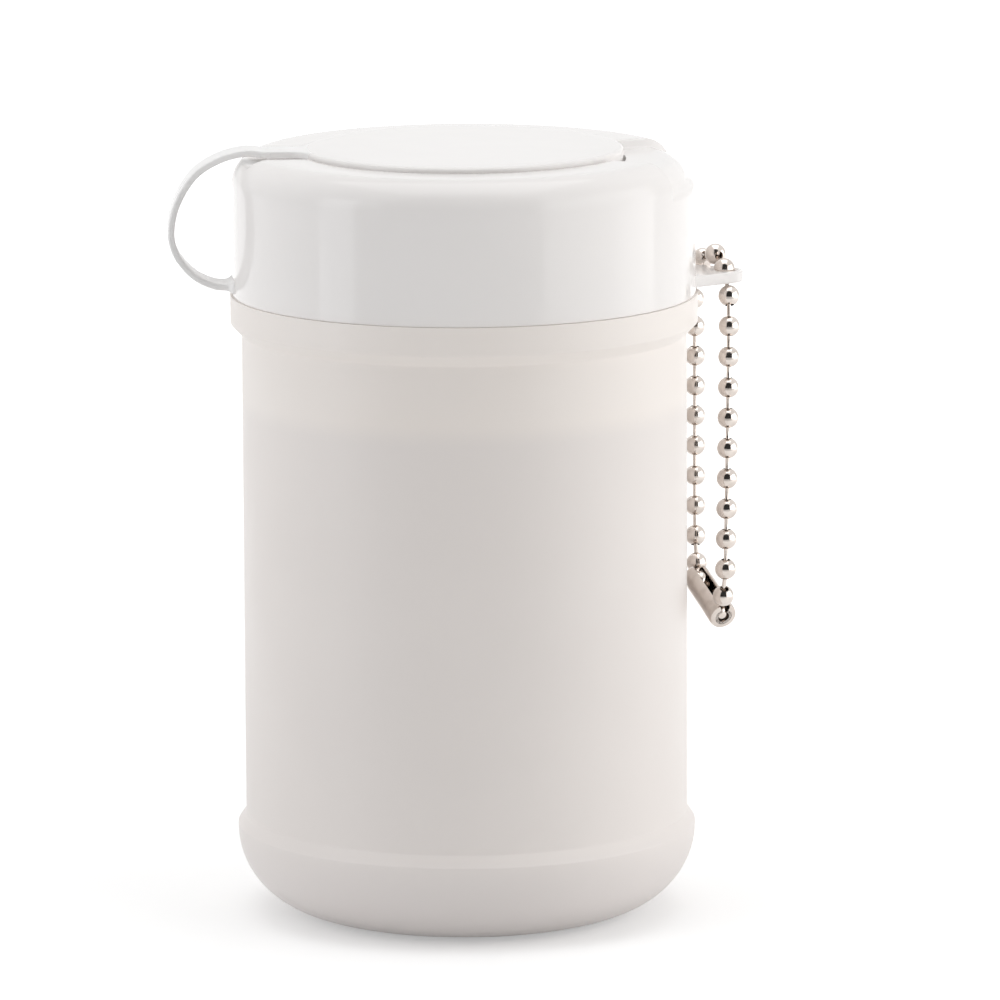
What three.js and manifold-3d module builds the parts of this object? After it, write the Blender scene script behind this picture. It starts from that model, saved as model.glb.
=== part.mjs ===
// A pocket canister of wet wipes: a blown plastic body, a press-on cap with a tethered
// lid, the roll of wipes inside, and a ball chain that hangs from an ear on the cap.
// Millimetres, +Z up. The origin is the centre of the base. The ear points along +X and
// the lid's strap loops out along -X.

import * as THREE from 'three';
import { mergeVertices } from 'three/addons/utils/BufferGeometryUtils.js';
import Module from 'manifold-3d';

const wasm = await Module();
wasm.setup();

// General fits
const GAP = 0.3; // between pieces that rest on or in each other
const CUT_OVERRUN = 2; // how far a cutting solid reaches past the surface it cuts
const ROUND_SEGMENTS = 40; // facets round the large turned pieces

// Canister body, blown in one piece
const BODY_R = 25;
const BODY_WALL = 1;
const FOOT_R = BODY_R + 0.9;
const FOOT_CORNER_WIDTH = 9.8; // the base corner is a quarter of an ellipse
const FOOT_CORNER_HEIGHT = 9.4;
const FOOT_BAND_HEIGHT = 0.4; // straight part of the foot above the corner
const FOOT_STEP_HEIGHT = 1.3; // slope from the foot back to the wall
const COLLAR_R = BODY_R + 1.25;
const COLLAR_HEIGHT = 3.2;
const COLLAR_SLOPE_HEIGHT = 1.3;
const SHOULDER_HEIGHT = 70.3; // top face of the collar, where the cap sits
const NECK_HEIGHT = 9.2; // neck above the collar
const NECK_LIP = 0.3; // chamfer on the mouth

// Cap
const CAP_R = COLLAR_R - 0.25;
const CAP_WALL = 1.5;
const CAP_HEIGHT = 15.6; // from the skirt's edge to the flat rim on top
const CAP_SHOULDER_R = 3.5;
const CAP_TOP_WALL = 1.8;
const CAP_EDGE_CHAMFER = 0.3;
const CAP_TO_NECK = 0.4; // radial clearance of the press-on fit
const INNER_WALL = 1.2; // walls of the lid seat, the well and the dispensing plate
const WELL_DEPTH = 3;
const DISPENSING_HOLE_R = 6;
const SLIT_REACH = 10; // length of each slit from the axis
const SLIT_WIDTH = 1.2;

// Lid
const LID_R = CAP_R - 8.1; // leaves the rim round the lid
const LID_THICKNESS = 1.8;
const LID_PROUD = 0.5; // how far the lid stands above the cap's rim
const LID_EDGE_ROUND = 0.4;
const PLUG_R = LID_R - 5.3;
const PLUG_WALL = 1.2;
const PLUG_DEPTH = 2.6;
const PLUG_LEAD_WIDTH = 0.25;
const PLUG_LEAD_HEIGHT = 1.2;

// Strap between the lid and the cap's skirt
const STRAP_WIDTH = 4.5;
const STRAP_THICKNESS = 0.75;
const HINGE_X = -(CAP_R - 3.7); // line where the lid's tongue folds
const HINGE_SLOT = 0.3; // groove under the folding line
const TONGUE_THICKNESS = 0.8;
const TONGUE_FLARE = 2;
const STRAP_NOTCH_WIDTH = 9.8;
const RIM_CUT_DEPTH = 0.9; // depth of the strap notch and of the thumb recess
const STRAP_STAND_OFF = 6.85; // from the skirt to the strap's middle where it stands out most
const STRAP_ROOT_HEIGHT = 0.5; // underside of the strap above the skirt's edge
const STRAP_ROOT_FLARE = 0.7;

// Thumb recess in the rim, opposite the strap
const RECESS_ANGLES = [-31, 20]; // degrees round the rim from the ear's line
const RECESS_FLOOR_DROP = 2.6; // how far below the rim the floor starts to run out
const RECESS_DROP = 4; // how far below the rim it meets the skirt

// Ear that holds the chain
const EAR_THICKNESS = 1.3;
const EAR_LIFT = 0.4; // underside of the ear above the skirt's edge
const EAR_ROOT_HALF_WIDTH = 4.9;
const EAR_HOLE_R = 1.4;
const EAR_RIM = 0.75;
const EAR_HOLE_X = CAP_R + 3.33;

// Roll of wipes
const ROLL_R = BODY_R - 2.4;
const ROLL_HEIGHT = 56.7;
const ROLL_HOLE_R = 6;
const ROLL_EDGE = 0.8;

// Ball chain
const BALL_R = 1.2;
const BALL_WALL = 0.2;
const BALL_HOLE_R = 0.62;
const EAR_BALL_LIFT = 0.1;
const CHAIN_PITCH = 3.43;
const BALL_SEGMENTS = 10;
const PIN_R = 0.22;
const PIN_HEAD_R = 0.7;
const PIN_HEAD_INNER = 0.35; // head faces, from the centre of the ball that holds them
const PIN_HEAD_OUTER = 0.55;
const PIN_SEGMENTS = 6;
const CONNECTOR_R = 1.6;
const CONNECTOR_WALL = 0.25;
const CONNECTOR_MOUTH_R = 0.9;
const CONNECTOR_OVERHANG = 1.3; // from an end ball's centre to the tube's end
const CONNECTOR_SLOT = 1.4;
const CONNECTOR_SEGMENTS = 16;
const RIGHT_PITCHES = 12; // from the ball in the ear to the end of each strand
const LEFT_PITCHES = 14;

// Levels that follow from the sizes above
const FOOT_TOP = FOOT_CORNER_HEIGHT + FOOT_BAND_HEIGHT;
const COLLAR_LOW = SHOULDER_HEIGHT - COLLAR_HEIGHT;
const CAP_LOW = SHOULDER_HEIGHT + GAP;
const CAP_TOP = CAP_LOW + CAP_HEIGHT;
const SKIRT_INNER_R = CAP_R - CAP_WALL;
const NECK_R = SKIRT_INNER_R - CAP_TO_NECK;
const NECK_TOP = SHOULDER_HEIGHT + NECK_HEIGHT;
const LID_TOP = CAP_TOP + LID_PROUD;
const LID_UNDER = LID_TOP - LID_THICKNESS;
const SEAT_R = LID_R + GAP;
const SEAT_Z = LID_UNDER - GAP;
const WELL_R = PLUG_R + GAP;
const PLATE_TOP = SEAT_Z - WELL_DEPTH;
const RIM_INNER_CORNER = CAP_R - CAP_SHOULDER_R;
const SHOULDER_LOW = CAP_TOP - CAP_SHOULDER_R;
const RIM_CUT_Z = CAP_TOP - RIM_CUT_DEPTH;
const EAR_LOW = CAP_LOW + EAR_LIFT;
const EAR_TOP = EAR_LOW + EAR_THICKNESS;
const ROLL_LOW = BODY_WALL + GAP;

const milkyPlastic = new THREE.MeshStandardMaterial({ color: 0xe9e5e1, roughness: 0.5 });
const glossyPlastic = new THREE.MeshStandardMaterial({ color: 0xf0efee, roughness: 0.2 });
const wipes = new THREE.MeshStandardMaterial({ color: 0xf4f3f0, roughness: 0.95 });
const nickel = new THREE.MeshStandardMaterial({ color: 0xc8c4bc, roughness: 0.15, metalness: 1 });

// Tools for turned outlines and for cutting and joining

const at = (r, z) => new THREE.Vector2(r, z);

function arc(centre, width, height, from, to, steps) {
  const points = [];
  for (let i = 0; i <= steps; i += 1) {
    const angle = THREE.MathUtils.degToRad(from + ((to - from) * i) / steps);
    points.push(at(centre.x + width * Math.cos(angle), centre.y + height * Math.sin(angle)));
  }
  return points;
}

// A closed outline starts and ends at the same point, an open one on the axis.
function turned(outline, segments = ROUND_SEGMENTS) {
  return new THREE.LatheGeometry(outline, segments).rotateX(Math.PI / 2);
}

const closed = (outline) => [...outline, outline[0].clone()];

function toSolid(geometry) {
  const bare = geometry.index ? geometry.clone() : geometry;
  bare.deleteAttribute('normal');
  bare.deleteAttribute('uv');
  const joined = mergeVertices(bare, 1e-4);
  return new wasm.Manifold(new wasm.Mesh({
    numProp: 3,
    vertProperties: new Float32Array(joined.attributes.position.array),
    triVerts: new Uint32Array(joined.index.array),
  }));
}

function toGeometry(solid) {
  const mesh = solid.getMesh();
  const geometry = new THREE.BufferGeometry();
  geometry.setAttribute('position', new THREE.BufferAttribute(mesh.vertProperties, 3));
  geometry.setIndex(new THREE.BufferAttribute(mesh.triVerts, 1));
  geometry.computeVertexNormals();
  return geometry;
}

const piece = (name, geometry, material) => {
  const mesh = new THREE.Mesh(geometry, material);
  mesh.name = name;
  return mesh;
};

// A plate of the given plan, standing from z = low
function plate(plan, low, thickness, curveSegments = 8) {
  const settings = { depth: thickness, bevelEnabled: false, curveSegments };
  return new THREE.ExtrudeGeometry(plan, settings).translate(0, 0, low);
}

// Canister body

function bodyOutline(inset) {
  const cornerCentre = at(FOOT_R - FOOT_CORNER_WIDTH, FOOT_CORNER_HEIGHT);
  return [
    at(0, inset),
    ...arc(cornerCentre, FOOT_CORNER_WIDTH - inset, FOOT_CORNER_HEIGHT - inset, -90, 0, 6),
    at(FOOT_R - inset, FOOT_TOP),
    at(BODY_R - inset, FOOT_TOP + FOOT_STEP_HEIGHT),
    at(BODY_R - inset, COLLAR_LOW - COLLAR_SLOPE_HEIGHT),
    at(COLLAR_R - inset, COLLAR_LOW),
    at(COLLAR_R - inset, SHOULDER_HEIGHT - inset),
    at(NECK_R - inset, SHOULDER_HEIGHT - inset),
  ];
}

function canisterBody() {
  const mouth = [
    at(NECK_R, NECK_TOP - NECK_LIP),
    at(NECK_R - NECK_LIP, NECK_TOP),
    at(NECK_R - BODY_WALL, NECK_TOP),
  ];
  const outline = [...bodyOutline(0), ...mouth, ...bodyOutline(BODY_WALL).reverse()];
  return piece('canister_body', turned(outline), milkyPlastic);
}

// Cap: shell, lid seat, well and dispensing plate in one moulding, with the ear and strap

function capShellOutline() {
  const shoulder = at(RIM_INNER_CORNER, SHOULDER_LOW);
  const innerShoulderR = CAP_SHOULDER_R - CAP_WALL;
  const innerShoulderHeight = CAP_SHOULDER_R - CAP_TOP_WALL;
  return closed([
    at(SKIRT_INNER_R, CAP_LOW),
    at(CAP_R - CAP_EDGE_CHAMFER, CAP_LOW),
    at(CAP_R, CAP_LOW + CAP_EDGE_CHAMFER),
    ...arc(shoulder, CAP_SHOULDER_R, CAP_SHOULDER_R, 0, 90, 6),
    at(SEAT_R, CAP_TOP),
    at(SEAT_R, SEAT_Z),
    at(WELL_R, SEAT_Z),
    at(WELL_R, PLATE_TOP),
    at(DISPENSING_HOLE_R, PLATE_TOP),
    at(DISPENSING_HOLE_R, PLATE_TOP - INNER_WALL),
    at(WELL_R + INNER_WALL, PLATE_TOP - INNER_WALL),
    at(WELL_R + INNER_WALL, SEAT_Z - INNER_WALL),
    at(SEAT_R + INNER_WALL, SEAT_Z - INNER_WALL),
    at(SEAT_R + INNER_WALL, CAP_TOP - CAP_TOP_WALL),
    ...arc(shoulder, innerShoulderR, innerShoulderHeight, 90, 0, 3),
  ]);
}

// The recess floor follows the rim and the upper shoulder, one cut depth below them.
function thumbRecess() {
  const shoulder = at(RIM_INNER_CORNER, SHOULDER_LOW);
  const floorR = CAP_SHOULDER_R - RIM_CUT_DEPTH;
  const drop = CAP_SHOULDER_R - RECESS_FLOOR_DROP;
  const runOutAngle = THREE.MathUtils.radToDeg(Math.asin(drop / floorR));
  const outside = CAP_R + CUT_OVERRUN;
  const ring = toSolid(turned(closed([
    at(outside, CAP_TOP - RECESS_DROP - (outside - CAP_R)),
    at(outside, CAP_TOP + CUT_OVERRUN),
    at(SEAT_R - GAP, CAP_TOP + CUT_OVERRUN),
    at(SEAT_R - GAP, RIM_CUT_Z),
    ...arc(shoulder, floorR, floorR, 90, runOutAngle, 4),
    at(CAP_R, CAP_TOP - RECESS_DROP),
  ])));
  const reach = 2 * CAP_R;
  const sides = RECESS_ANGLES.map((angle) => reach * Math.tan(THREE.MathUtils.degToRad(angle)));
  const sector = new THREE.Shape([at(0, 0), ...sides.map((side) => at(reach, side))]);
  const wedge = toSolid(plate(sector, SHOULDER_LOW - CAP_HEIGHT, 2 * CAP_HEIGHT));
  return ring.intersect(wedge);
}

function strapNotch() {
  const length = CAP_R + CUT_OVERRUN - (SEAT_R - GAP);
  const height = RIM_CUT_DEPTH + CUT_OVERRUN;
  const notch = new THREE.BoxGeometry(length, STRAP_NOTCH_WIDTH, height);
  notch.translate(-(CAP_R + CUT_OVERRUN) + length / 2, 0, RIM_CUT_Z + height / 2);
  return toSolid(notch);
}

function slits() {
  const depth = INNER_WALL + 2 * CUT_OVERRUN;
  const along = new THREE.BoxGeometry(2 * SLIT_REACH, SLIT_WIDTH, depth);
  const middle = PLATE_TOP - INNER_WALL / 2;
  const across = along.clone().rotateZ(Math.PI / 2).translate(0, 0, middle);
  return toSolid(along.translate(0, 0, middle)).add(toSolid(across));
}

function ear() {
  const noseR = EAR_HOLE_R + EAR_RIM;
  const rootX = CAP_R - CAP_WALL / 2;
  const slope = Math.atan2(EAR_ROOT_HALF_WIDTH - noseR, EAR_HOLE_X - rootX);
  const plan = new THREE.Shape();
  plan.moveTo(rootX, -EAR_ROOT_HALF_WIDTH);
  plan.absarc(EAR_HOLE_X, 0, noseR, slope - Math.PI / 2, Math.PI / 2 - slope, false);
  plan.lineTo(rootX, EAR_ROOT_HALF_WIDTH);
  plan.closePath();
  const drill = new THREE.CylinderGeometry(EAR_HOLE_R, EAR_HOLE_R, 2 * CAP_HEIGHT, 24);
  drill.rotateX(Math.PI / 2).translate(EAR_HOLE_X, 0, EAR_TOP);
  return toSolid(plate(plan, EAR_LOW, EAR_THICKNESS, 12)).subtract(toSolid(drill));
}

// The strap's middle line in the X-Z plane, from the folding line round to the skirt. Each
// point says how far out and how far down it lies, as shares of the loop's width and height.
function strapLine() {
  const start = at(HINGE_X - HINGE_SLOT / 2, LID_TOP - STRAP_THICKNESS / 2);
  const root = CAP_LOW + STRAP_ROOT_HEIGHT + STRAP_THICKNESS / 2;
  const height = start.y - root;
  const point = (out, down) => at(-CAP_R - out * STRAP_STAND_OFF, start.y - down * height);
  return new THREE.SplineCurve([
    start,
    point(-0.21, -0.013),
    point(0.21, 0.037),
    point(0.61, 0.155),
    point(0.9, 0.367),
    point(1, 0.589),
    point(0.905, 0.764),
    point(0.635, 0.912),
    point(0.33, 0.986),
    at(-CAP_R - STRAP_ROOT_FLARE, root),
    at(-CAP_R + CAP_WALL / 2, root),
  ]);
}

// The strap thickens into a small fillet over the last stretch before the skirt.
function strapHalfThickness(point) {
  const toSkirt = -CAP_R - point.x;
  const nearRoot = point.y < SHOULDER_LOW && toSkirt < STRAP_ROOT_FLARE;
  const flare = nearRoot ? STRAP_ROOT_FLARE - Math.max(toSkirt, 0) : 0;
  return STRAP_THICKNESS / 2 + flare / 2;
}

function strap() {
  const line = strapLine();
  const outer = [];
  const inner = [];
  const steps = 44;
  for (let i = 0; i <= steps; i += 1) {
    const point = line.getPointAt(i / steps);
    const along = line.getTangentAt(i / steps);
    const side = at(-along.y, along.x).multiplyScalar(strapHalfThickness(point));
    outer.push(point.clone().add(side));
    inner.push(point.clone().sub(side));
  }
  const section = new THREE.Shape([...outer, ...inner.reverse()]);
  const band = plate(section, 0, STRAP_WIDTH).rotateX(Math.PI / 2);
  return toSolid(band.translate(0, STRAP_WIDTH / 2, 0));
}

function capShell() {
  const solid = toSolid(turned(capShellOutline()))
    .subtract(thumbRecess())
    .subtract(strapNotch())
    .subtract(slits())
    .add(ear())
    .add(strap());
  return piece('cap_shell', toGeometry(solid), glossyPlastic);
}

// Lid: a disc with a plug ring under it and the tongue that folds at the strap

function lidDisc() {
  const plugLow = LID_UNDER - PLUG_DEPTH;
  const disc = toSolid(turned([
    at(0, LID_UNDER),
    at(PLUG_R - PLUG_WALL, LID_UNDER),
    at(PLUG_R - PLUG_WALL, plugLow),
    at(PLUG_R - PLUG_LEAD_WIDTH, plugLow),
    at(PLUG_R, plugLow + PLUG_LEAD_HEIGHT),
    at(PLUG_R, LID_UNDER),
    at(LID_R, LID_UNDER),
    at(LID_R, LID_TOP - LID_EDGE_ROUND),
    at(LID_R - LID_EDGE_ROUND, LID_TOP),
    at(0, LID_TOP),
  ]));
  const tip = HINGE_X + HINGE_SLOT / 2;
  const half = STRAP_WIDTH / 2;
  const plan = new THREE.Shape();
  plan.moveTo(-LID_R + 2 * TONGUE_FLARE, -half - TONGUE_FLARE);
  plan.lineTo(-LID_R + TONGUE_FLARE / 2, -half - TONGUE_FLARE);
  plan.quadraticCurveTo(-LID_R, -half, -LID_R - TONGUE_FLARE / 2, -half);
  plan.lineTo(tip, -half);
  plan.lineTo(tip, half);
  plan.lineTo(-LID_R - TONGUE_FLARE / 2, half);
  plan.quadraticCurveTo(-LID_R, half, -LID_R + TONGUE_FLARE / 2, half + TONGUE_FLARE);
  plan.lineTo(-LID_R + 2 * TONGUE_FLARE, half + TONGUE_FLARE);
  plan.closePath();
  const tongue = toSolid(plate(plan, LID_TOP - TONGUE_THICKNESS, TONGUE_THICKNESS, 5));
  return piece('lid_disc', toGeometry(disc.add(tongue)), glossyPlastic);
}

// Roll of wipes, settled into the base corner, with the open centre they are pulled from

function wipesRoll() {
  const top = ROLL_LOW + ROLL_HEIGHT;
  const cornerCentre = at(FOOT_R - FOOT_CORNER_WIDTH, FOOT_CORNER_HEIGHT);
  const width = FOOT_CORNER_WIDTH - ROLL_LOW;
  const height = FOOT_CORNER_HEIGHT - ROLL_LOW;
  const side = -THREE.MathUtils.radToDeg(Math.acos((ROLL_R - cornerCentre.x) / width));
  const outline = closed([
    at(ROLL_HOLE_R, ROLL_LOW),
    ...arc(cornerCentre, width, height, -90, side, 5),
    at(ROLL_R, top - ROLL_EDGE),
    at(ROLL_R - ROLL_EDGE, top),
    at(ROLL_HOLE_R, top),
  ]);
  return piece('wipes_roll', turned(outline), wipes);
}

// Ball chain: one ball sits in the ear, and a strand runs down from each side of it.

const earBall = new THREE.Vector3(EAR_HOLE_X, 0, EAR_TOP + EAR_BALL_LIFT);
const pitchesFromEar = (out, along, up) => {
  return new THREE.Vector3(out, along, up).multiplyScalar(CHAIN_PITCH).add(earBall);
};

// Each strand's route, from the ball in the ear to the connector, in chain pitches
const rightRoute = [
  earBall,
  pitchesFromEar(0.0933, -0.5831, -0.8309),
  pitchesFromEar(0.0729, -0.8455, -1.8076),
  pitchesFromEar(0.0496, -0.9621, -2.7988),
  pitchesFromEar(-0.0087, -1.137, -5.7726),
  pitchesFromEar(-0.0612, -1.2536, -8.7755),
  pitchesFromEar(-0.0816, -1.2682, -9.7668),
  pitchesFromEar(-0.1254, -0.9767, -10.7289),
  pitchesFromEar(-0.1778, -0.2187, -11.3703),
  pitchesFromEar(-0.2128, 0.1749, -11.5452),
];
const leftRoute = [
  earBall,
  pitchesFromEar(-0.1983, 0.9184, 0.3499),
  pitchesFromEar(-0.5335, 1.8222, 0.0729),
  pitchesFromEar(-0.6822, 2.5219, -0.5831),
  pitchesFromEar(-0.6939, 3.0466, -1.4286),
  pitchesFromEar(-0.6443, 3.309, -2.3907),
  pitchesFromEar(-0.6297, 3.3528, -3.3819),
  pitchesFromEar(-0.6356, 3.2945, -5.8892),
  pitchesFromEar(-0.6501, 3.1487, -7.4344),
  pitchesFromEar(-0.6793, 2.7405, -9.3003),
  pitchesFromEar(-0.6939, 2.2157, -10.1458),
  pitchesFromEar(-0.6851, 1.3411, -10.6414),
  pitchesFromEar(-0.6501, 0.9621, -10.758),
];

// Ball centres along a route, each one pitch from the last in a straight line
function ballCentres(route, pitches) {
  const samples = new THREE.CatmullRomCurve3(route).getPoints(4000);
  const centres = [samples[0]];
  for (const sample of samples) {
    const last = centres[centres.length - 1];
    if (centres.length <= pitches && sample.distanceTo(last) >= CHAIN_PITCH) {
      centres.push(sample);
    }
  }
  return centres;
}

function ballShell() {
  const outerPole = THREE.MathUtils.radToDeg(Math.acos(BALL_HOLE_R / BALL_R));
  const innerR = BALL_R - BALL_WALL;
  const innerPole = THREE.MathUtils.radToDeg(Math.acos(BALL_HOLE_R / innerR));
  return turned(closed([
    ...arc(at(0, 0), BALL_R, BALL_R, -outerPole, outerPole, 5),
    ...arc(at(0, 0), innerR, innerR, innerPole, -innerPole, 3),
  ]), BALL_SEGMENTS);
}

function linkPin() {
  const half = CHAIN_PITCH / 2;
  return turned([
    at(0, PIN_HEAD_INNER - half),
    at(PIN_HEAD_R, PIN_HEAD_INNER - half),
    at(PIN_HEAD_R, PIN_HEAD_OUTER - half),
    at(PIN_R, PIN_HEAD_OUTER - half),
    at(PIN_R, half - PIN_HEAD_OUTER),
    at(PIN_HEAD_R, half - PIN_HEAD_OUTER),
    at(PIN_HEAD_R, half - PIN_HEAD_INNER),
    at(0, half - PIN_HEAD_INNER),
  ], PIN_SEGMENTS);
}

function connectorTube(length) {
  const half = length / 2;
  const innerR = CONNECTOR_R - CONNECTOR_WALL;
  const tube = toSolid(turned(closed([
    at(CONNECTOR_MOUTH_R, -half),
    at(CONNECTOR_R, -half),
    at(CONNECTOR_R, half),
    at(CONNECTOR_MOUTH_R, half),
    at(CONNECTOR_MOUTH_R, half - CONNECTOR_WALL),
    at(innerR, half - CONNECTOR_WALL),
    at(innerR, CONNECTOR_WALL - half),
    at(CONNECTOR_MOUTH_R, CONNECTOR_WALL - half),
  ]), CONNECTOR_SEGMENTS));
  const slot = new THREE.BoxGeometry(2 * CONNECTOR_R, CONNECTOR_SLOT, 2 * length);
  return toGeometry(tube.subtract(toSolid(slot.translate(CONNECTOR_R, 0, 0))));
}

// The tube lies along the two end balls, with its slot on top.
function connector(firstBall, lastBall) {
  const along = lastBall.clone().sub(firstBall);
  const length = along.length() + 2 * CONNECTOR_OVERHANG;
  along.normalize();
  const across = along.clone().cross(new THREE.Vector3(0, 0, 1)).normalize();
  const up = across.clone().cross(along);
  const mesh = piece('chain_connector', connectorTube(length), nickel);
  mesh.position.copy(firstBall).add(lastBall).multiplyScalar(0.5);
  mesh.quaternion.setFromRotationMatrix(new THREE.Matrix4().makeBasis(up, across, along));
  return mesh;
}

const numbered = (name, index) => `${name}_${String(index + 1).padStart(2, '0')}`;

function ballChain() {
  const chain = new THREE.Group();
  const right = ballCentres(rightRoute, RIGHT_PITCHES);
  const left = ballCentres(leftRoute, LEFT_PITCHES);
  const centres = [...right.reverse(), ...left.slice(1)];
  const up = new THREE.Vector3(0, 0, 1);
  const ball = ballShell();
  const pin = linkPin();
  centres.forEach((centre, i) => {
    const before = centres[Math.max(i - 1, 0)];
    const after = centres[Math.min(i + 1, centres.length - 1)];
    const mesh = piece(numbered('chain_ball', i), ball, nickel);
    mesh.position.copy(centre);
    mesh.quaternion.setFromUnitVectors(up, after.clone().sub(before).normalize());
    chain.add(mesh);
  });
  centres.slice(1).forEach((centre, i) => {
    const along = centre.clone().sub(centres[i]).normalize();
    const mesh = piece(numbered('chain_link', i), pin, nickel);
    mesh.position.copy(centre).add(centres[i]).multiplyScalar(0.5);
    mesh.quaternion.setFromUnitVectors(up, along);
    chain.add(mesh);
  });
  chain.add(connector(centres[0], centres[centres.length - 1]));
  return chain;
}

const canister = new THREE.Group();
canister.add(canisterBody(), wipesRoll(), capShell(), lidDisc(), ballChain());

export default canister;
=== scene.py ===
import math

import bmesh
import bpy
from mathutils import Matrix, Vector


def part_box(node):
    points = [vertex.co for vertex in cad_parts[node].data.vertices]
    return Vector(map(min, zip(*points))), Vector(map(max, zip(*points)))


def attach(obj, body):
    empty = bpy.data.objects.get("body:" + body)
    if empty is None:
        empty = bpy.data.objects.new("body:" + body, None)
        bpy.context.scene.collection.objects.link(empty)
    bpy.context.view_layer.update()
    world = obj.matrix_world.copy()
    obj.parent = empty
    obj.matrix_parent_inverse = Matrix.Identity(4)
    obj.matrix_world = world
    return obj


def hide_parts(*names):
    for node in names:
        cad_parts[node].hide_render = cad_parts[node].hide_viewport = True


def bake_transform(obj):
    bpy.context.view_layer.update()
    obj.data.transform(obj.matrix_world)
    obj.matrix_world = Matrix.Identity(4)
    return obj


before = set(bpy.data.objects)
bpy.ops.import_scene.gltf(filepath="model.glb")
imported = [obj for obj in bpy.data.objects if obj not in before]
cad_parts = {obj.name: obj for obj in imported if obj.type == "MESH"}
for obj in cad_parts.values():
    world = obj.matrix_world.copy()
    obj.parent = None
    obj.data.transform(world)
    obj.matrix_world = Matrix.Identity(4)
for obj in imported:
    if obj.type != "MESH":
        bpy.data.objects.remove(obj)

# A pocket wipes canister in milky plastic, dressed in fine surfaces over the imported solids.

MM = 0.001
SHARP_ANGLE = math.radians(40)
LEAST_BEND = math.radians(20)
ROUND_STEPS = 160
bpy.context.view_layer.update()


def size_of(node):
    """Lowest and highest corner of a solid, in millimetres."""
    low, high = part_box(node)
    return Vector(low) / MM, Vector(high) / MM


body_high = size_of("canister_body")[1]
cap_low, cap_high = size_of("cap_shell")
lid_low, lid_high = size_of("lid_disc")
roll_low, roll_high = size_of("wipes_roll")

# Canister body, millimetres
COLLAR_R = body_high.x
BODY_R = COLLAR_R - 1.25
BODY_WALL = 1.0
FOOT_R = COLLAR_R - 0.35
CORNER_WIDTH = 9.8
CORNER_HEIGHT = 9.4
CORNER_CENTRE = FOOT_R - CORNER_WIDTH, CORNER_HEIGHT
FOOT_TOP = 9.8
STEP_HEIGHT = 1.3  # slopes above the foot and below the collar
NECK_TOP = body_high.z
SHOULDER_Z = NECK_TOP - 9.2
COLLAR_LOW = SHOULDER_Z - 3.2
COLLAR_EDGE = 0.1
NECK_R = 24.1
BODY_EDGE = 0.3

# Roll of wipes, millimetres
ROLL_R = roll_high.x
ROLL_LOW = roll_low.z
ROLL_TOP = roll_high.z
ROLL_HOLE_R = 6.0
ROLL_LAYERS = 22
ROLL_SETTLED = 0.18
ROLL_UNEVEN = 0.1
LAYER_GAP = 0.04
LAYER_EDGE = 0.2
LAYER_DROP = 0.35

# Cap, millimetres
CAP_LOW = cap_low.z
SKIRT_LOW = CAP_LOW - 0.27  # nearly down on the collar
SKIRT_EDGE = 0.08
CAP_R = cap_high.y
CAP_TOP = CAP_LOW + 15.6
CAP_SHOULDER = 3.5
CAP_WALL = 1.5
CAP_TOP_WALL = 1.8
INNER_WALL = 1.2
CAP_EDGE = 0.25
RIM_CUT = 0.9
RIM_CUT_Z = CAP_TOP - RIM_CUT
NOTCH_HALF = 4.9
NOTCH_EDGE = 0.12
NOTCH_REACH = math.radians(60)  # columns follow the strap's notch this far round
RECESS_SIDES = math.radians(-31), math.radians(20)
RECESS_EDGES = math.radians(0.4), math.radians(1.5)
RECESS_LOW = CAP_TOP - 4.0
RECESS_RUN_OUT = 0.7

# Lid and the well under it, millimetres
LID_TOP = lid_high.z
LID_R = lid_high.x
LID_UNDER = LID_TOP - 1.8
LID_EDGE = 0.45
SEAT_R = LID_R + 0.3
SEAT_Z = LID_UNDER - 0.3
PLUG_R = 12.6
PLUG_WALL = 1.2
PLUG_LOW = lid_low.z
PLUG_LEAD_WIDTH = 0.25
PLUG_LEAD_HEIGHT = 1.2
WELL_R = PLUG_R + 0.3
PLATE_R = WELL_R + 0.2
PLATE_TOP = SEAT_Z - 3.0
PLATE_LOW = PLATE_TOP - INNER_WALL
HOLE_R = 6.0
SLIT_REACH = 10.0
SLIT_HALF = 0.6

# Strap, tongue and ear, millimetres
STRAP_HALF = 2.25
STRAP_THICK = 0.75
STRAP_ROOT = CAP_LOW + 0.5
ROOT_FLARE = 0.8
ROOT_REACH = 0.9
ROOT_HIGH = CAP_TOP - 5.0  # the root flares only below this
HINGE_X = -22.3
FILM_HALF = 0.15
FILM_OVERLAP = 0.5
FILM_PROUD = 0.01
TONGUE_FLARE = 3.2
TONGUE_THICK = 0.8
TONGUE_EDGE = 0.2
TONGUE_SUNK = 0.004  # just under the top of the lid
EAR_X = 29.33
EAR_LOW = CAP_LOW + 0.4
EAR_TOP = EAR_LOW + 1.3
EAR_ROOT_HALF = 4.9
EAR_HOLE_R = 1.4
EAR_NOSE_R = 2.15
EAR_EDGE = 0.18

# Chain, millimetres
CHAIN_BALLS = 27
BALL_R = 1.2
BALL_WALL = 0.2
BALL_HOLE_R = 0.5
PIN_R = 0.24
PIN_HEAD_R = 0.66
PIN_HEAD_THICK = 0.16
PIN_HEAD_SLOPE = 0.04
PIN_EDGE = 0.06
PIN_SHORTER = 0.75  # than the distance between two ball centres
CONNECTOR_R = 1.6
CONNECTOR_WALL = 0.25
CONNECTOR_MOUTH_R = 0.65
CONNECTOR_OVERHANG = 1.3
CONNECTOR_SLOT_HALF = 0.7


# Outlines

def arc(centre, width, height, start, end, steps):
    turn = [math.radians(start + (end - start) * i / steps) for i in range(steps + 1)]
    return [(centre[0] + width * math.cos(a), centre[1] + height * math.sin(a)) for a in turn]


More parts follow.
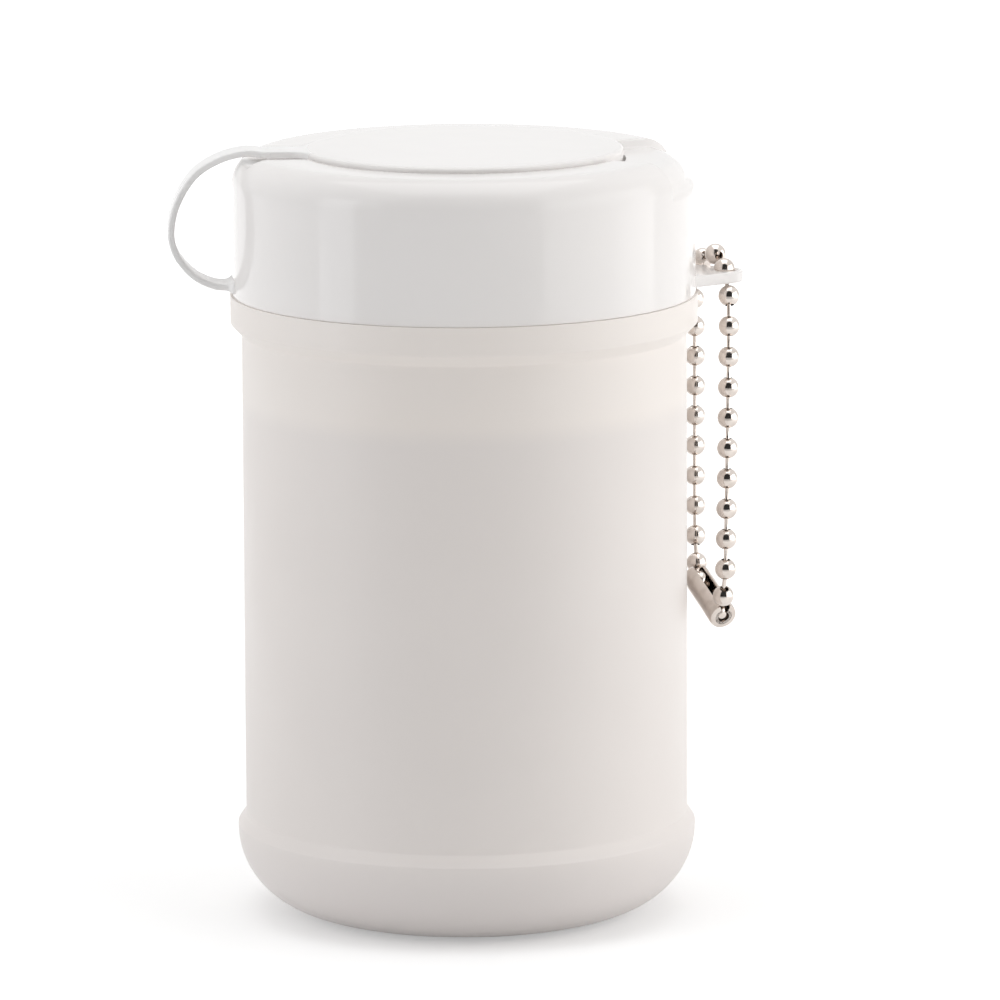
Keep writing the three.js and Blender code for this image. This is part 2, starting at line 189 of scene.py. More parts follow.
def eased(outline, radius, steps=4, loop=True):
    """The outline with its sharp corners rounded, where the sides have room for it."""
    points = [Vector(p) for p in outline]
    result = []
    count = len(points)
    for i, corner in enumerate(points):
        if not loop and i in (0, count - 1):
            result.append(tuple(corner))
            continue
        before = points[i - 1] - corner
        after = points[(i + 1) % count] - corner
        room = min(before.length, after.length)
        bend = math.pi - before.angle(after)
        if bend < LEAST_BEND or room < 1e-6:
            result.append(tuple(corner))
            continue
        reach = min(radius * math.tan(bend / 2), 0.45 * room)
        first = corner + before.normalized() * reach
        last = corner + after.normalized() * reach
        for k in range(steps + 1):
            t = k / steps
            point = first * (1 - t) ** 2 + corner * 2 * t * (1 - t) + last * t ** 2
            result.append(tuple(point))
    return result


def divided(outline, longest, loop=True):
    """The outline with points added so that no side is longer than the given length."""
    result = []
    ends = outline[1:] + outline[:1] if loop else outline[1:]
    for first, last in zip(outline, ends):
        steps = max(1, math.ceil(math.dist(first, last) / longest))
        for k in range(steps):
            t = k / steps
            result.append(tuple(a + (b - a) * t for a, b in zip(first, last)))
    if not loop:
        result.append(outline[-1])
    return result


# Meshes

def new_piece(name, vertices, faces, material):
    """An object from points in millimetres."""
    mesh = bpy.data.meshes.new(name)
    mesh.from_pydata([tuple(c * MM for c in v) for v in vertices], [], faces)
    mesh.validate()
    mesh.materials.append(material)
    piece = bpy.data.objects.new(name, mesh)
    bpy.context.scene.collection.objects.link(piece)
    return piece


def make_object(name, vertices, faces, material, body, slot, nodes):
    """A smooth piece from points in millimetres, riding on a body."""
    piece = new_piece(name, vertices, faces, material)
    mesh = piece.data
    work = bmesh.new()
    work.from_mesh(mesh)
    bmesh.ops.remove_doubles(work, verts=work.verts, dist=1e-7)
    bmesh.ops.recalc_face_normals(work, faces=work.faces)
    work.to_mesh(mesh)
    work.free()
    mesh.shade_smooth()
    mesh.set_sharp_from_angle(angle=SHARP_ANGLE)
    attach(piece, body)
    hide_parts(*nodes)


def ring_faces(rows, columns, close_rows):
    faces = []
    for i in range(rows if close_rows else rows - 1):
        for j in range(columns):
            k = (j + 1) % columns
            n = (i + 1) % rows
            faces.append((i * columns + j, i * columns + k, n * columns + k, n * columns + j))
    return faces


def turned(outline, segments, loop=True):
    """Points and faces of a turned body round Z. An open outline starts and ends on the axis."""
    angles = [2 * math.pi * j / segments for j in range(segments)]
    vertices = [(r * math.cos(a), r * math.sin(a), z) for r, z in outline for a in angles]
    return vertices, ring_faces(len(outline), segments, loop)


def swept(sections):
    """Points and faces of a closed band through a list of equal closed sections, ends capped."""
    count = len(sections[0])
    vertices = [point for section in sections for point in section]
    faces = ring_faces(len(sections), count, False)
    faces.append(tuple(range(count)))
    faces.append(tuple(range(len(vertices) - count, len(vertices))))
    return vertices, faces


# Shader maths

class Value:
    """A node output. Maths on it adds Math nodes to its shader."""

    def __init__(self, shader, socket):
        self.shader = shader
        self.socket = socket

    def __add__(self, other):
        return self.shader.maths("ADD", self, other)

    def __sub__(self, other):
        return self.shader.maths("SUBTRACT", self, other)

    def __rsub__(self, other):
        return self.shader.maths("SUBTRACT", other, self)

    def __mul__(self, other):
        return self.shader.maths("MULTIPLY", self, other)

    __radd__ = __add__
    __rmul__ = __mul__


class Shader:
    """The node tree of a material or of the world."""

    def __init__(self, tree):
        self.tree = tree

    def node(self, kind, settings=None, sockets=None):
        """The outputs of a new node, as a list of values."""
        made = self.tree.nodes.new(kind)
        for key, value in (settings or {}).items():
            setattr(made, key, value)
        for key, value in (sockets or {}).items():
            if isinstance(value, Value):
                self.tree.links.new(value.socket, made.inputs[key])
            else:
                made.inputs[key].default_value = value
        return [Value(self, socket) for socket in made.outputs]

    def maths(self, operation, first, second):
        return self.node("ShaderNodeMath", {"operation": operation}, {0: first, 1: second})[0]

    def place(self):
        return self.node("ShaderNodeTexCoord")[3]

    def noise(self, scale, detail, stretch=(1, 1, 1)):
        sockets = {0: self.place(), 1: stretch}
        place = self.node("ShaderNodeVectorMath", {"operation": "MULTIPLY"}, sockets)[0]
        sockets = {"Vector": place, "Scale": scale, "Detail": detail}
        return self.node("ShaderNodeTexNoise", None, sockets)[0]

    def fade(self, value, low, high, start=0.0, end=1.0):
        sockets = {0: value, 1: low, 2: high, 3: start, 4: end}
        return self.node("ShaderNodeMapRange", {"interpolation_type": "SMOOTHSTEP"}, sockets)[0]

    def mix(self, factor, first, second):
        settings = {"data_type": "RGBA"}
        return self.node("ShaderNodeMix", settings, {0: factor, 6: first, 7: second})[2]

    def part_of(self, vector, index):
        return self.node("ShaderNodeSeparateXYZ", None, {0: vector})[index]

    def dot(self, first, second):
        sockets = {0: first, 1: second}
        return self.node("ShaderNodeVectorMath", {"operation": "DOT_PRODUCT"}, sockets)[1]

    def looks(self):
        """1 where the camera or a clear piece looks at this shader, and 1 where a mirror does."""
        path = self.node("ShaderNodeLightPath")
        return self.maths("MAXIMUM", path[0], path[6]), path[3]

    def feed(self, socket, value):
        self.tree.links.new(value.socket, self.tree.nodes["Principled BSDF"].inputs[socket])

    def bump(self, value, depth):
        sockets = {"Height": value, "Distance": depth, "Strength": 1.0}
        self.feed("Normal", self.node("ShaderNodeBump", None, sockets)[0])


def new_material(name, **constants):
    """A material and its shader, with constants on the Principled shader's sockets."""
    material = bpy.data.materials.new(name)
    material.use_nodes = True
    inputs = material.node_tree.nodes["Principled BSDF"].inputs
    for socket, value in constants.items():
        inputs[socket.replace("_", " ")].default_value = value
    return material, Shader(material.node_tree)


def linear(red, green, blue):
    """A colour given in display values from 0 to 255."""
    channels = [c / 255 for c in (red, green, blue)]
    return (*[c / 12.92 if c <= 0.04045 else ((c + 0.055) / 1.055) ** 2.4 for c in channels], 1.0)


def milky_body():
    """Blown plastic: satin, with painted shade: slightly darker where the roll stands behind the
    wall, and darker still in the lowest few millimetres.
    """
    material, shader = new_material("milky_body", IOR=1.5)
    height = shader.part_of(shader.place(), 2)
    # Painted shade: a darker colour where the roll stands behind the wall, and a darker one again
    # towards the bottom.
    roll_edge = shader.fade(height, (ROLL_TOP - 1.5) * MM, (ROLL_TOP + 1.5) * MM)
    low_shade_edge = shader.fade(height, 6 * MM, 12 * MM)
    cloud = shader.fade(shader.noise(26, 3), 0.35, 0.65)
    roll_shaded = shader.mix(cloud, linear(238, 232, 228), linear(241, 235, 231))
    empty = shader.mix(cloud, linear(245, 238, 232), linear(247, 241, 236))
    side = shader.mix(roll_edge, roll_shaded, empty)
    shader.feed("Base Color", shader.mix(low_shade_edge, linear(237, 231, 228), side))
    shader.feed("Roughness", shader.fade(shader.noise(60, 4), 0.3, 0.7, 0.38, 0.48))
    ripple = shader.noise(180, 2, (1, 1, 0.3)) * 0.6
    shader.bump(ripple + shader.noise(900, 2) * 0.4, 0.00003)
    return material


def glossy_cap():
    """Moulded plastic: smooth and glossy, very slightly wavy."""
    material, shader = new_material("glossy_cap", IOR=1.38)
    cloud = shader.fade(shader.noise(40, 2), 0.35, 0.65)
    shader.feed("Base Color", shader.mix(cloud, linear(245, 242, 240), linear(247, 244, 242)))
    shader.feed("Roughness", shader.fade(shader.noise(120, 3), 0.3, 0.7, 0.08, 0.14))
    shader.bump(shader.noise(70, 1), 0.00002)
    return material


def strap_plastic():
    """The plastic of the strap and the tongue: a little duller than the cap's, and a little
    lighter in colour as painted light on the strap's shaded side.
    """
    material, shader = new_material("strap_plastic", IOR=1.5)
    cloud = shader.fade(shader.noise(150, 2), 0.35, 0.65)
    # Painted light: a little lighter than the cap's colour, to lift the strap's shaded side.
    shader.feed("Base Color", shader.mix(cloud, linear(248, 247, 246), linear(251, 250, 249)))
    shader.feed("Roughness", shader.fade(shader.noise(200, 3), 0.3, 0.7, 0.25, 0.36))
    shader.bump(shader.noise(500, 2), 0.00002)
    return material


def damp_wipes():
    """Layers of non-woven cloth wound on each other."""
    material, shader = new_material("damp_wipes", IOR=1.4)
    fibres = shader.noise(1500, 4, (1, 1, 0.2))
    shader.feed("Base Color", shader.mix(fibres, linear(228, 227, 224), linear(244, 243, 241)))
    shader.feed("Roughness", shader.fade(fibres, 0.3, 0.7, 0.75, 0.95))
    shader.bump(fibres, 0.0002)
    return material


def nickel_plate():
    """Bright plating with faint dull spots."""
    material, shader = new_material("nickel_plate", Metallic=1.0)
    spots = shader.fade(shader.noise(700, 4), 0.4, 0.75)
    shader.feed("Base Color", shader.mix(spots, linear(222, 213, 206), linear(206, 196, 188)))
    shader.feed("Roughness", shader.fade(shader.noise(1500, 3), 0.3, 0.8, 0.06, 0.2))
    shader.bump(shader.noise(900, 2), 0.00001)
    return material


body_plastic = milky_body()
cap_plastic = glossy_cap()
band_plastic = strap_plastic()
cloth = damp_wipes()
nickel = nickel_plate()


# Canister body

def body_side(inset):
    """Half section of the body from the middle of its base to the shoulder, set in by a wall."""
    return [
        (0.0, inset),
        *arc(CORNER_CENTRE, CORNER_WIDTH - inset, CORNER_HEIGHT - inset, -90, 0, 24),
        (FOOT_R - inset, FOOT_TOP),
        (BODY_R - inset, FOOT_TOP + STEP_HEIGHT),
        (BODY_R - inset, COLLAR_LOW - STEP_HEIGHT),
        (COLLAR_R - inset, COLLAR_LOW),
        (COLLAR_R - inset, SHOULDER_Z - inset - COLLAR_EDGE),
        (COLLAR_R - inset, SHOULDER_Z - inset),
        (NECK_R - inset, SHOULDER_Z - inset),
    ]


def canister_body():
    outside = body_side(0) + [(NECK_R, NECK_TOP)]
    inside = [(NECK_R - BODY_WALL, NECK_TOP)] + body_side(BODY_WALL)[::-1]
    outline = eased(outside + inside, BODY_EDGE, loop=False)
    mesh = turned(divided(outline, 2.5, loop=False), ROUND_STEPS, loop=False)
    make_object("body_fine", *mesh, body_plastic, "canister", "body_plastic", ["canister_body"])


def wipes_roll():
    """A wound strip: its layers show as fine steps on the top."""
    width = CORNER_WIDTH - ROLL_LOW
    side = -math.degrees(math.acos((ROLL_R - CORNER_CENTRE[0]) / width))
    wall = arc(CORNER_CENTRE, width, CORNER_HEIGHT - ROLL_LOW, -90, side, 10)
    layer = (ROLL_R - ROLL_HOLE_R) / ROLL_LAYERS
    layers = []
    for k in range(ROLL_LAYERS):
        outer = ROLL_R - layer * k
        inner = outer - layer
        top = ROLL_TOP - ROLL_SETTLED - ROLL_UNEVEN * math.sin(k * 2.4)
        layers += [(outer - LAYER_GAP, top - LAYER_DROP), (outer - LAYER_EDGE, top)]
        layers += [(inner + LAYER_EDGE, top), (inner + LAYER_GAP, top - LAYER_DROP)]
    mesh = turned([(ROLL_HOLE_R, ROLL_LOW)] + wall + layers, 128)
    make_object("roll_fine", *mesh, cloth, "canister", "wipes", ["wipes_roll"])


# Cap

def cap_outline():
    """Half section of the skirt, rim, lid seat and well wall, closed."""
    shoulder = (CAP_R - CAP_SHOULDER, CAP_TOP - CAP_SHOULDER)
    outline = [
        (CAP_R - CAP_WALL, SKIRT_LOW),
        (CAP_R, SKIRT_LOW),
        (CAP_R, SKIRT_LOW + SKIRT_EDGE),
        *arc(shoulder, CAP_SHOULDER, CAP_SHOULDER, 0, 90, 20),
        (SEAT_R, CAP_TOP),
        (SEAT_R, SEAT_Z),
        (WELL_R, SEAT_Z),
        (WELL_R, PLATE_LOW),
        (WELL_R + INNER_WALL, PLATE_LOW),
        (WELL_R + INNER_WALL, SEAT_Z - INNER_WALL),
        (SEAT_R + INNER_WALL, SEAT_Z - INNER_WALL),
        (SEAT_R + INNER_WALL, CAP_TOP - CAP_TOP_WALL),
        *arc(shoulder, CAP_SHOULDER - CAP_WALL, CAP_SHOULDER - CAP_TOP_WALL, 90, 0, 8),
    ]
    return divided(eased(outline, CAP_EDGE, 3), 0.5)


def step(value, edge, softness):
    """0 below the edge and 1 above it, with a smooth change between."""
    t = min(max((value - edge + softness) / (2 * softness), 0.0), 1.0)
    return t * t * (3 - 2 * t)


def recessed(r, z):
    """Where an outer point of the cap goes at the bottom of the thumb recess."""
    centre_r = CAP_R - CAP_SHOULDER
    centre_z = CAP_TOP - CAP_SHOULDER
    if z <= RECESS_LOW or r < SEAT_R - 0.5:
        return r, z
    if r <= centre_r:
        return r, min(z, RIM_CUT_Z)
    angle = math.atan2(z - centre_z, r - centre_r)
    depth = RIM_CUT * step(z, RECESS_LOW + RECESS_RUN_OUT, RECESS_RUN_OUT)
    if z < centre_z:
        return r - depth, z
    floor = CAP_SHOULDER - depth
    return centre_r + floor * math.cos(angle), centre_z + floor * math.sin(angle)


def cap_angles():
    """Angles round the cap between the strap's two sides, closest at the recess's sides."""
    spacing = math.radians(1.25)
    near = math.radians(2)
    steps = round(2 * (math.pi - NOTCH_REACH) / spacing)
    angles = [NOTCH_REACH - math.pi + k * spacing for k in range(steps + 1)]
    for side in RECESS_SIDES:
        angles = [a for a in angles if abs(a - side) > near]
        angles += [side + math.radians(1.8 * k / 12) for k in range(-12, 13)]
    return sorted(angles)


def cap_row(r):
    """Each column's angle and its distance across the strap, at one radius."""
    notch = [0, 0.8, 1.6, 2.4, 3.2, 4.0, 4.4, 4.6, 4.7]
    notch += [4.78, 4.86, 4.94, 5.02, 5.1, 5.2, 5.4, 5.8]
    between = 24
    start = math.asin(notch[-1] / r)
    far = NOTCH_HALF * 2
    half = [(math.asin(y / r), y) for y in notch]
    half += [(start + (NOTCH_REACH - start) * k / between, far) for k in range(1, between)]
    near_side = [(math.pi - a, y) for a, y in half[::-1]]
    far_side = [(a - math.pi, y) for a, y in half[1:]]
    return far_side + [(a, far) for a in cap_angles()] + near_side


def cap_point(r, z, angle, across):
    """A point of the outside, moved in by the thumb recess and down by the strap's notch."""
    front = step(angle, RECESS_SIDES[0], RECESS_EDGES[0])
    depth = front * (1 - step(angle, RECESS_SIDES[1], RECESS_EDGES[1]))
    low_r, low_z = recessed(r, z)
    r += (low_r - r) * depth
    z += (low_z - z) * depth
    notch = 1 - step(across, NOTCH_HALF, NOTCH_EDGE)
    return r, z - notch * max(z - RIM_CUT_Z, 0.0)


def cap_shell():
    outline = cap_outline()
    inside = [i for i, (r, z) in enumerate(outline) if r <= WELL_R + 0.01 and z < SEAT_Z]
    vertices = []
    for index, point in enumerate(outline):
        for angle, across in cap_row(point[0]):
            r, z = cap_point(*point, angle, across) if index < inside[0] else point
            vertices.append((r * math.cos(angle), r * math.sin(angle), z))
    columns = len(vertices) // len(outline)
    faces = ring_faces(len(outline), columns, True)
    make_object("cap_fine", vertices, faces, cap_plastic, "cap", "cap_plastic", ["cap_shell"])


def hole_edge(angle):
    """A point of one quarter of the hole's edge, at an angle from the middle of its slit."""
    slit_end = math.asin(SLIT_HALF / SLIT_REACH)
    if abs(angle) < slit_end:
        return SLIT_REACH, SLIT_HALF * angle / slit_end
    if abs(HOLE_R * math.sin(angle)) < SLIT_HALF:
        return math.sqrt(HOLE_R ** 2 - SLIT_HALF ** 2), math.copysign(SLIT_HALF, angle)
    return HOLE_R * math.cos(angle), HOLE_R * math.sin(angle)


def dispensing_plate():
    """The floor of the well, with its hole and four slits."""
    per_quarter = 40
    outer = []
    inner = []
    for quarter in range(4):
        turn = Matrix.Rotation(math.radians(90 * quarter), 2)
        for k in range(per_quarter):
            angle = math.radians(-45 + 90 * k / per_quarter)
            outer.append(turn @ Vector((PLATE_R * math.cos(angle), PLATE_R * math.sin(angle))))
            inner.append(turn @ Vector(hole_edge(angle)))
    rows = [(inner, PLATE_LOW), (outer, PLATE_LOW), (outer, PLATE_TOP), (inner, PLATE_TOP)]
    vertices = [(x, y, z) for row, z in rows for x, y in row]
    faces = ring_faces(len(rows), len(inner), True)
    nodes = ["cap_shell"]
    make_object("dispensing_plate", vertices, faces, cap_plastic, "cap", "cap_plastic", nodes)


def smooth_line(points, steps):
    """Points along a smooth curve through the given ones, as in the solid."""
    result = []
    count = len(points)
    for i in range(count - 1):
        p0 = Vector(points[max(i - 1, 0)])
        p1 = Vector(points[i])
        p2 = Vector(points[i + 1])
        p3 = Vector(points[min(i + 2, count - 1)])
        for k in range(steps):
            t = k / steps
            bend = (p2 - p0) * t + (2 * p0 - 5 * p1 + 4 * p2 - p3) * t ** 2
            result.append(p1 + 0.5 * (bend + (3 * p1 - p0 - 3 * p2 + p3) * t ** 3))
    result.append(Vector(points[-1]))
    return result


def band_section(half_width, half_thick):
    """A flat band's section with rounded edges: (across, out) pairs."""
    corner = min(half_thick, half_width) * 0.6
    steps = 3
    section = []
    for sx, sy, start in ((1, 1, 0), (-1, 1, 90), (-1, -1, 180), (1, -1, 270)):
        for k in range(steps + 1):
            a = math.radians(start + 90 * k / steps)
            x = sx * (half_width - corner) + corner * math.cos(a)
            section.append((x, sy * (half_thick - corner) + corner * math.sin(a)))
    return section


def strap_loop():
    """The band from the hinge out, down and back to the skirt. Its line is given as shares of
    how far it stands out and how far it comes down."""
    top = LID_TOP - STRAP_THICK / 2
    root = STRAP_ROOT + STRAP_THICK / 2
    stand_off = -CAP_R - cap_low.x - STRAP_THICK / 2
    shares = [(-0.21, -0.013), (0.21, 0.037), (0.61, 0.155), (0.9, 0.367), (1, 0.589)]
    shares += [(0.905, 0.764), (0.635, 0.912), (0.33, 0.986)]
    points = [(-CAP_R - out * stand_off, top - down * (top - root)) for out, down in shares]
    start = (HINGE_X - FILM_HALF, top)
    end = [(-CAP_R - 0.7, root), (-CAP_R + CAP_WALL / 2, root)]
    line = smooth_line([start, *points, *end], 10)
    sections = []
    for i, point in enumerate(line):
        along = (line[min(i + 1, len(line) - 1)] - line[max(i - 1, 0)]).normalized()
        out = Vector((-along.y, along.x))
        to_skirt = -CAP_R - point.x
        near = point.y < ROOT_HIGH and to_skirt < ROOT_REACH
        flare = ROOT_FLARE * (1 - max(to_skirt, 0) / ROOT_REACH) ** 2 if near else 0.0
        section = band_section(STRAP_HALF + flare * 0.6, STRAP_THICK / 2 + flare / 2)
        sections.append([(point.x + out.x * o, y, point.y + out.y * o) for y, o in section])
    mesh = swept(sections)
    make_object("strap_band", *mesh, band_plastic, "cap", "cap_plastic", ["cap_shell"])


def flat_piece(outline, low, high, ease):
    """A plate of the given plan with rounded edges, as stacked rings and two caps."""
    plan = [Vector(p) for p in outline]
    count = len(plan)
    area = sum(plan[i - 1].x * plan[i].y - plan[i].x * plan[i - 1].y for i in range(count))
    sign = 1 if area > 0 else -1
    normals = []
    for i in range(count):
        along = (plan[(i + 1) % count] - plan[i - 1]).normalized()
        normals.append(Vector((along.y, -along.x)) * sign)
    rings = []
    for k in range(5):
        a = math.radians(90 * k / 4)
        rings.append((ease * (1 - math.sin(a)), low + ease * (1 - math.cos(a))))
    rings += [(inset, high - (z - low)) for inset, z in rings[::-1]]
    vertices = []
    for inset, z in rings:
        vertices += [(*(p - n * inset), z) for p, n in zip(plan, normals)]
    faces = ring_faces(len(rings), count, False)
    faces.append(tuple(range(count)))
    faces.append(tuple(range(len(vertices) - count, len(vertices))))
    return vertices, faces


def chain_ear():
    """A flat ear whose sides run straight to its round nose, with a hole for one ball."""
    root_x = CAP_R - CAP_WALL / 2
    slope = math.degrees(math.atan2(EAR_ROOT_HALF - EAR_NOSE_R, EAR_X - root_x))
    nose = arc((EAR_X, 0), EAR_NOSE_R, EAR_NOSE_R, slope - 90, 90 - slope, 24)
    side = divided([(root_x, -EAR_ROOT_HALF), nose[0]], 0.6, loop=False)[:-1]
    plan = side + nose + [(x, -y) for x, y in side[::-1]]
    hole = []
    for x, y in plan:
        a = math.atan2(y, x - EAR_X)
        hole.append((EAR_X + EAR_HOLE_R * math.cos(a), EAR_HOLE_R * math.sin(a)))
    low, high = EAR_LOW + EAR_EDGE, EAR_TOP - EAR_EDGE
    rows = [(plan, 0, low), (plan, -EAR_EDGE, EAR_LOW)]
    rows += [(hole, EAR_EDGE, EAR_LOW), (hole, 0, low), (hole, 0, high), (hole, EAR_EDGE, EAR_TOP)]
    rows += [(plan, -EAR_EDGE, EAR_TOP), (plan, 0, high)]
    vertices = []
    for ring, push, z in rows:
        for x, y in ring:
            away = Vector((x - EAR_X, y)).normalized() * push
            vertices.append((x + away.x, y + away.y, z))
    faces = ring_faces(len(rows), len(plan), True)
    make_object("chain_ear", vertices, faces, cap_plastic, "cap", "cap_plastic", ["cap_shell"])


# Lid

def lid():
    """The disc with the plug ring under it."""
    outline = [
        (0.0, LID_UNDER),
        (PLUG_R - PLUG_WALL, LID_UNDER),
        (PLUG_R - PLUG_WALL, PLUG_LOW),
        (PLUG_R - PLUG_LEAD_WIDTH, PLUG_LOW),
        (PLUG_R, PLUG_LOW + PLUG_LEAD_HEIGHT),
        (PLUG_R, LID_UNDER),
        (LID_R, LID_UNDER),
        (LID_R, LID_TOP),
        (0.0, LID_TOP),
    ]
    fine = divided(eased(outline, LID_EDGE, 5, loop=False), 1.5, loop=False)
    mesh = turned(fine, ROUND_STEPS, loop=False)
    make_object("lid_fine", *mesh, cap_plastic, "lid", "cap_plastic", ["lid_disc"])


def tongue():
    """The lid's end of the strap, which flares into the lid's edge."""
    ends = Vector((-LID_R + TONGUE_FLARE / 2, STRAP_HALF + TONGUE_FLARE))
    corner = Vector((-LID_R, STRAP_HALF))
    last = Vector((-LID_R - TONGUE_FLARE / 2, STRAP_HALF))
    curve = []
    for k in range(9):
        t = k / 8
        curve.append(tuple(ends * (1 - t) ** 2 + corner * 2 * t * (1 - t) + last * t ** 2))
    inner = (-LID_R + 2 * TONGUE_FLARE, STRAP_HALF + TONGUE_FLARE)
    upper = [inner] + curve + [(HINGE_X + FILM_HALF, STRAP_HALF)]
    plan = upper + [(x, -y) for x, y in upper[::-1]]
    mesh = flat_piece(plan, LID_TOP - TONGUE_THICK, LID_TOP - TONGUE_SUNK, TONGUE_EDGE)
    make_object("lid_tongue", *mesh, band_plastic, "lid", "cap_plastic", ["lid_disc"])


def hinge_film():
    """The thin hinge line between the strap and the lid's tongue."""
    middle = LID_TOP - STRAP_THICK / 2
    section = band_section(STRAP_HALF + FILM_PROUD, STRAP_THICK / 2 + FILM_PROUD)
    sections = []
    for k in range(13):
        x = HINGE_X - FILM_OVERLAP + 2 * FILM_OVERLAP * k / 12
        sections.append([(x, y, middle + o) for y, o in section])
    film_piece = new_piece("hinge_film", *swept(sections), band_plastic)
    film_piece.data.shade_smooth()
    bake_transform(film_piece)


# Chain

def centre_of(node):
    low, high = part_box(node)
    return (Vector(low) + Vector(high)) / 2 / MM


def placed(mesh, centre, along):
    """The mesh with its Z axis turned along a direction and its middle at a centre."""
    vertices, faces = mesh
    turn = along.to_track_quat("Z", "Y").to_matrix()
    return [tuple(centre + turn @ Vector(v)) for v in vertices], faces


def ball_mesh():
    pole = math.degrees(math.acos(BALL_HOLE_R / BALL_R))
    inner = BALL_R - BALL_WALL
    inner_pole = math.degrees(math.acos(BALL_HOLE_R / inner))
    outline = arc((0, 0), BALL_R, BALL_R, -pole, pole, 16)
    outline += arc((0, 0), inner, inner, inner_pole, -inner_pole, 6)
    return turned(outline, 32)


def pin_mesh(length):
    """A thin pin with a flat head at each end."""
    half = length / 2
    head = half - PIN_HEAD_THICK
    neck = head - PIN_HEAD_SLOPE
    outline = [(0.0, -half), (PIN_HEAD_R, -half), (PIN_HEAD_R, -head), (PIN_R, -neck)]
    outline += [(PIN_R, neck), (PIN_HEAD_R, head), (PIN_HEAD_R, half), (0.0, half)]
    return turned(eased(outline, PIN_EDGE, 2, loop=False), 16, loop=False)


def connector(first, last):
    """A rolled tube with a slot along its top, over the two end balls."""
    along = (last - first).normalized()
    half = (last - first).length / 2 + CONNECTOR_OVERHANG
    across = along.cross(Vector((0, 0, 1))).normalized()
    up = across.cross(along)
    middle = (first + last) / 2
    slot = math.degrees(CONNECTOR_SLOT_HALF / CONNECTOR_R)
    end = [(-half, 0.9), (-half, 1.25), (-half + 0.12, 1.5), (-half + 0.35, CONNECTOR_R)]
    spots = end + [(z, CONNECTOR_R) for z in (-half * 0.5, 0.0, half * 0.5)]
    spots += [(-z, r) for z, r in end[::-1]]
    sections = []
    for z, r in spots:
        inner = max(r - CONNECTOR_WALL, CONNECTOR_MOUTH_R)
        ring = arc((0, 0), r, r, slot, 360 - slot, 40)
        ring += arc((0, 0), inner, inner, 360 - slot, slot, 40)
        sections.append([tuple(middle + along * z + up * x + across * y) for x, y in ring])
    mesh = swept(sections)
    make_object("connector_fine", *mesh, nickel, "chain", "chain_metal", ["chain_connector"])


def chain():
    """Each ball lies along its neighbours' line, and each pin along its two balls' line."""
    balls = [centre_of(f"chain_ball_{i + 1:02d}") for i in range(CHAIN_BALLS)]
    links = [centre_of(f"chain_link_{i + 1:02d}") for i in range(CHAIN_BALLS - 1)]
    ball = ball_mesh()
    for i in range(CHAIN_BALLS):
        along = (balls[min(i + 1, CHAIN_BALLS - 1)] - balls[max(i - 1, 0)]).normalized()
        mesh = placed(ball, balls[i], along)
        nodes = [f"chain_ball_{i + 1:02d}"]
        make_object(f"ball_{i + 1:02d}", *mesh, nickel, "chain", "chain_metal", nodes)
    for i in range(CHAIN_BALLS - 1):
        along = balls[i + 1] - balls[i]
        mesh = placed(pin_mesh(along.length - PIN_SHORTER), links[i], along.normalized())
        nodes = [f"chain_link_{i + 1:02d}"]
        make_object(f"pin_{i + 1:02d}", *mesh, nickel, "chain", "chain_metal", nodes)
    connector(balls[0], balls[-1])


canister_body()
wipes_roll()
cap_shell()
dispensing_plate()
strap_loop()
chain_ear()
lid()
tongue()
hinge_film()
chain()


# Floor, world, lights and camera

CAMERA_PLACE = Vector((-0.06435, -0.8977, 0.211))
CAMERA_HEADING = math.radians(4.35)
CAMERA_PITCH = math.radians(10.36)
CAMERA_ROLL = math.radians(-0.25)
CAMERA_LENS = 292.2
FRONT = (-0.07, -0.93, 0.36)
FRONT_LEFT = (-0.57, -0.74, 0.36)
WORLD_SIDE = 0.5
WORLD_FRONT = 1.0
DARK_SPOT = 0.04
FLOOR_SIZE = 12
FLOOR_Z = -0.0002
FLOOR_GLOW = 0.36
FAR_FLOOR_GLOW = 0.8


def make_floor():
    """A pale floor that glows to the camera, so that it comes out white and keeps the shadow.
    Mirrors see the glow end a little in front of the part."""
    bpy.ops.mesh.primitive_plane_add(size=FLOOR_SIZE)
    floor = bpy.context.object
    floor.name = "floor"
    floor.location.z = FLOOR_Z
    material, shader = new_material("floor_white", Roughness=0.9, Specular_IOR_Level=0.0)
    nodes = shader.tree.nodes
    nodes["Principled BSDF"].inputs["Base Color"].default_value = (0.8, 0.8, 0.8, 1)
    place = shader.place()
    distance = shader.node("ShaderNodeVectorMath", {"operation": "LENGTH"}, {0: place})[1]
    front_edge = shader.fade(shader.part_of(place, 1), -0.16, -0.09)
    direct, mirrored = shader.looks()
    glow = shader.fade(distance, 0.05, 0.35, FLOOR_GLOW, FAR_FLOOR_GLOW)
    sockets = {"Color": (1, 1, 1, 1), "Strength": (direct + mirrored * front_edge) * glow}
    emission = shader.node("ShaderNodeEmission", None, sockets)[0]
    principled = Value(shader, nodes["Principled BSDF"].outputs[0])
    total = shader.node("ShaderNodeAddShader", None, {0: principled, 1: emission})[0]
    shader.tree.links.new(total.socket, nodes["Material Output"].inputs["Surface"])
    floor.data.materials.append(material)


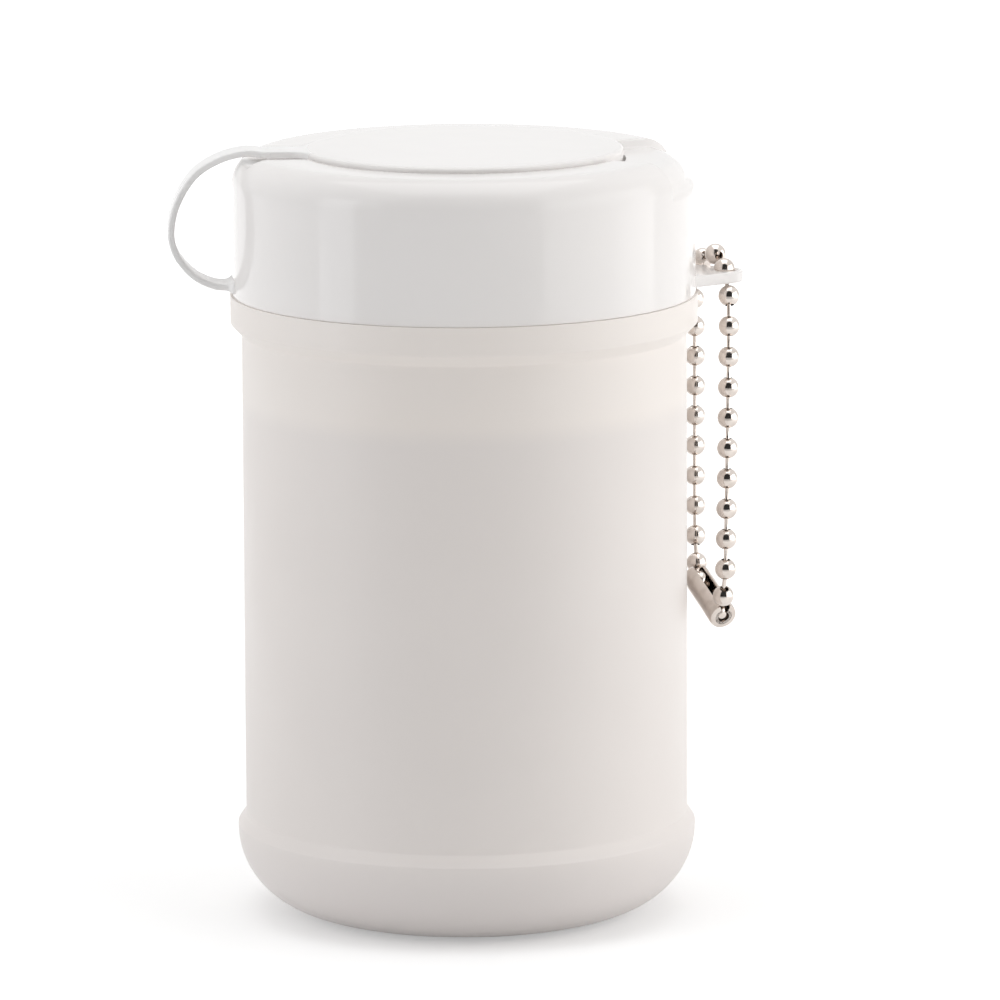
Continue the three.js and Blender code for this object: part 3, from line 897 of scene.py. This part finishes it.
def make_world():
    """White to the camera and to mirrors. As light it is brightest from the front left. A dark
    spot in front shows in the chain."""
    world = bpy.data.worlds.new("studio")
    bpy.context.scene.world = world
    world.use_nodes = True
    sky = Shader(world.node_tree)
    direction = sky.node("ShaderNodeTexCoord")[0]
    light = sky.fade(sky.dot(direction, FRONT_LEFT), 0.35, 0.9, WORLD_SIDE, WORLD_FRONT)
    dark_spot = sky.fade(sky.dot(direction, FRONT), 0.74, 0.8, 1.0, DARK_SPOT)
    direct, mirrored = sky.looks()
    strength = direct + (1 - direct) * dark_spot * (mirrored + (1 - mirrored) * light)
    background = sky.tree.nodes["Background"]
    background.inputs["Color"].default_value = (1, 1, 1, 1)
    sky.tree.links.new(strength.socket, background.inputs["Strength"])


def soft_box(name, place, target, size, power, colour=(1, 1, 1)):
    data = bpy.data.lights.new(name, "AREA")
    data.shape = "RECTANGLE"
    data.size, data.size_y = size
    data.energy = power
    data.color = colour
    lamp = bpy.data.objects.new(name, data)
    lamp.location = place
    lamp.rotation_euler = (Vector(target) - Vector(place)).to_track_quat("-Z", "Y").to_euler()
    bpy.context.scene.collection.objects.link(lamp)


def make_camera():
    data = bpy.data.cameras.new("camera")
    data.sensor_width = 36
    data.lens = CAMERA_LENS
    camera = bpy.data.objects.new("camera", data)
    level = math.cos(CAMERA_PITCH)
    down = -math.sin(CAMERA_PITCH)
    across, along = math.sin(CAMERA_HEADING), math.cos(CAMERA_HEADING)
    ahead = Vector((across * level, along * level, down))
    right = Vector((along, -across, 0))
    up = right.cross(ahead)
    side = right * math.cos(CAMERA_ROLL) + up * math.sin(CAMERA_ROLL)
    top = up * math.cos(CAMERA_ROLL) - right * math.sin(CAMERA_ROLL)
    turn = Matrix((side, top, -ahead)).transposed()
    camera.matrix_world = Matrix.Translation(CAMERA_PLACE) @ turn.to_4x4()
    bpy.context.scene.collection.objects.link(camera)
    bpy.context.scene.camera = camera


make_floor()
make_world()
COOL = (0.96, 0.97, 1.0)
WARM = (1.0, 0.99, 0.98)
soft_box("left_box", (-0.37, -0.15, 0.14), (0, 0, 0.14), (0.14, 0.28), 0.26, COOL)
soft_box("right_box", (0.35, -0.14, 0.15), (0, 0, 0.15), (0.5, 0.3), 0.76, WARM)
soft_box("top_box", (0.0, 0.1, 1.0), (0, 0, 0.045), (0.9, 0.9), 3.5)
make_camera()
bpy.context.scene.view_settings.view_transform = "Standard"
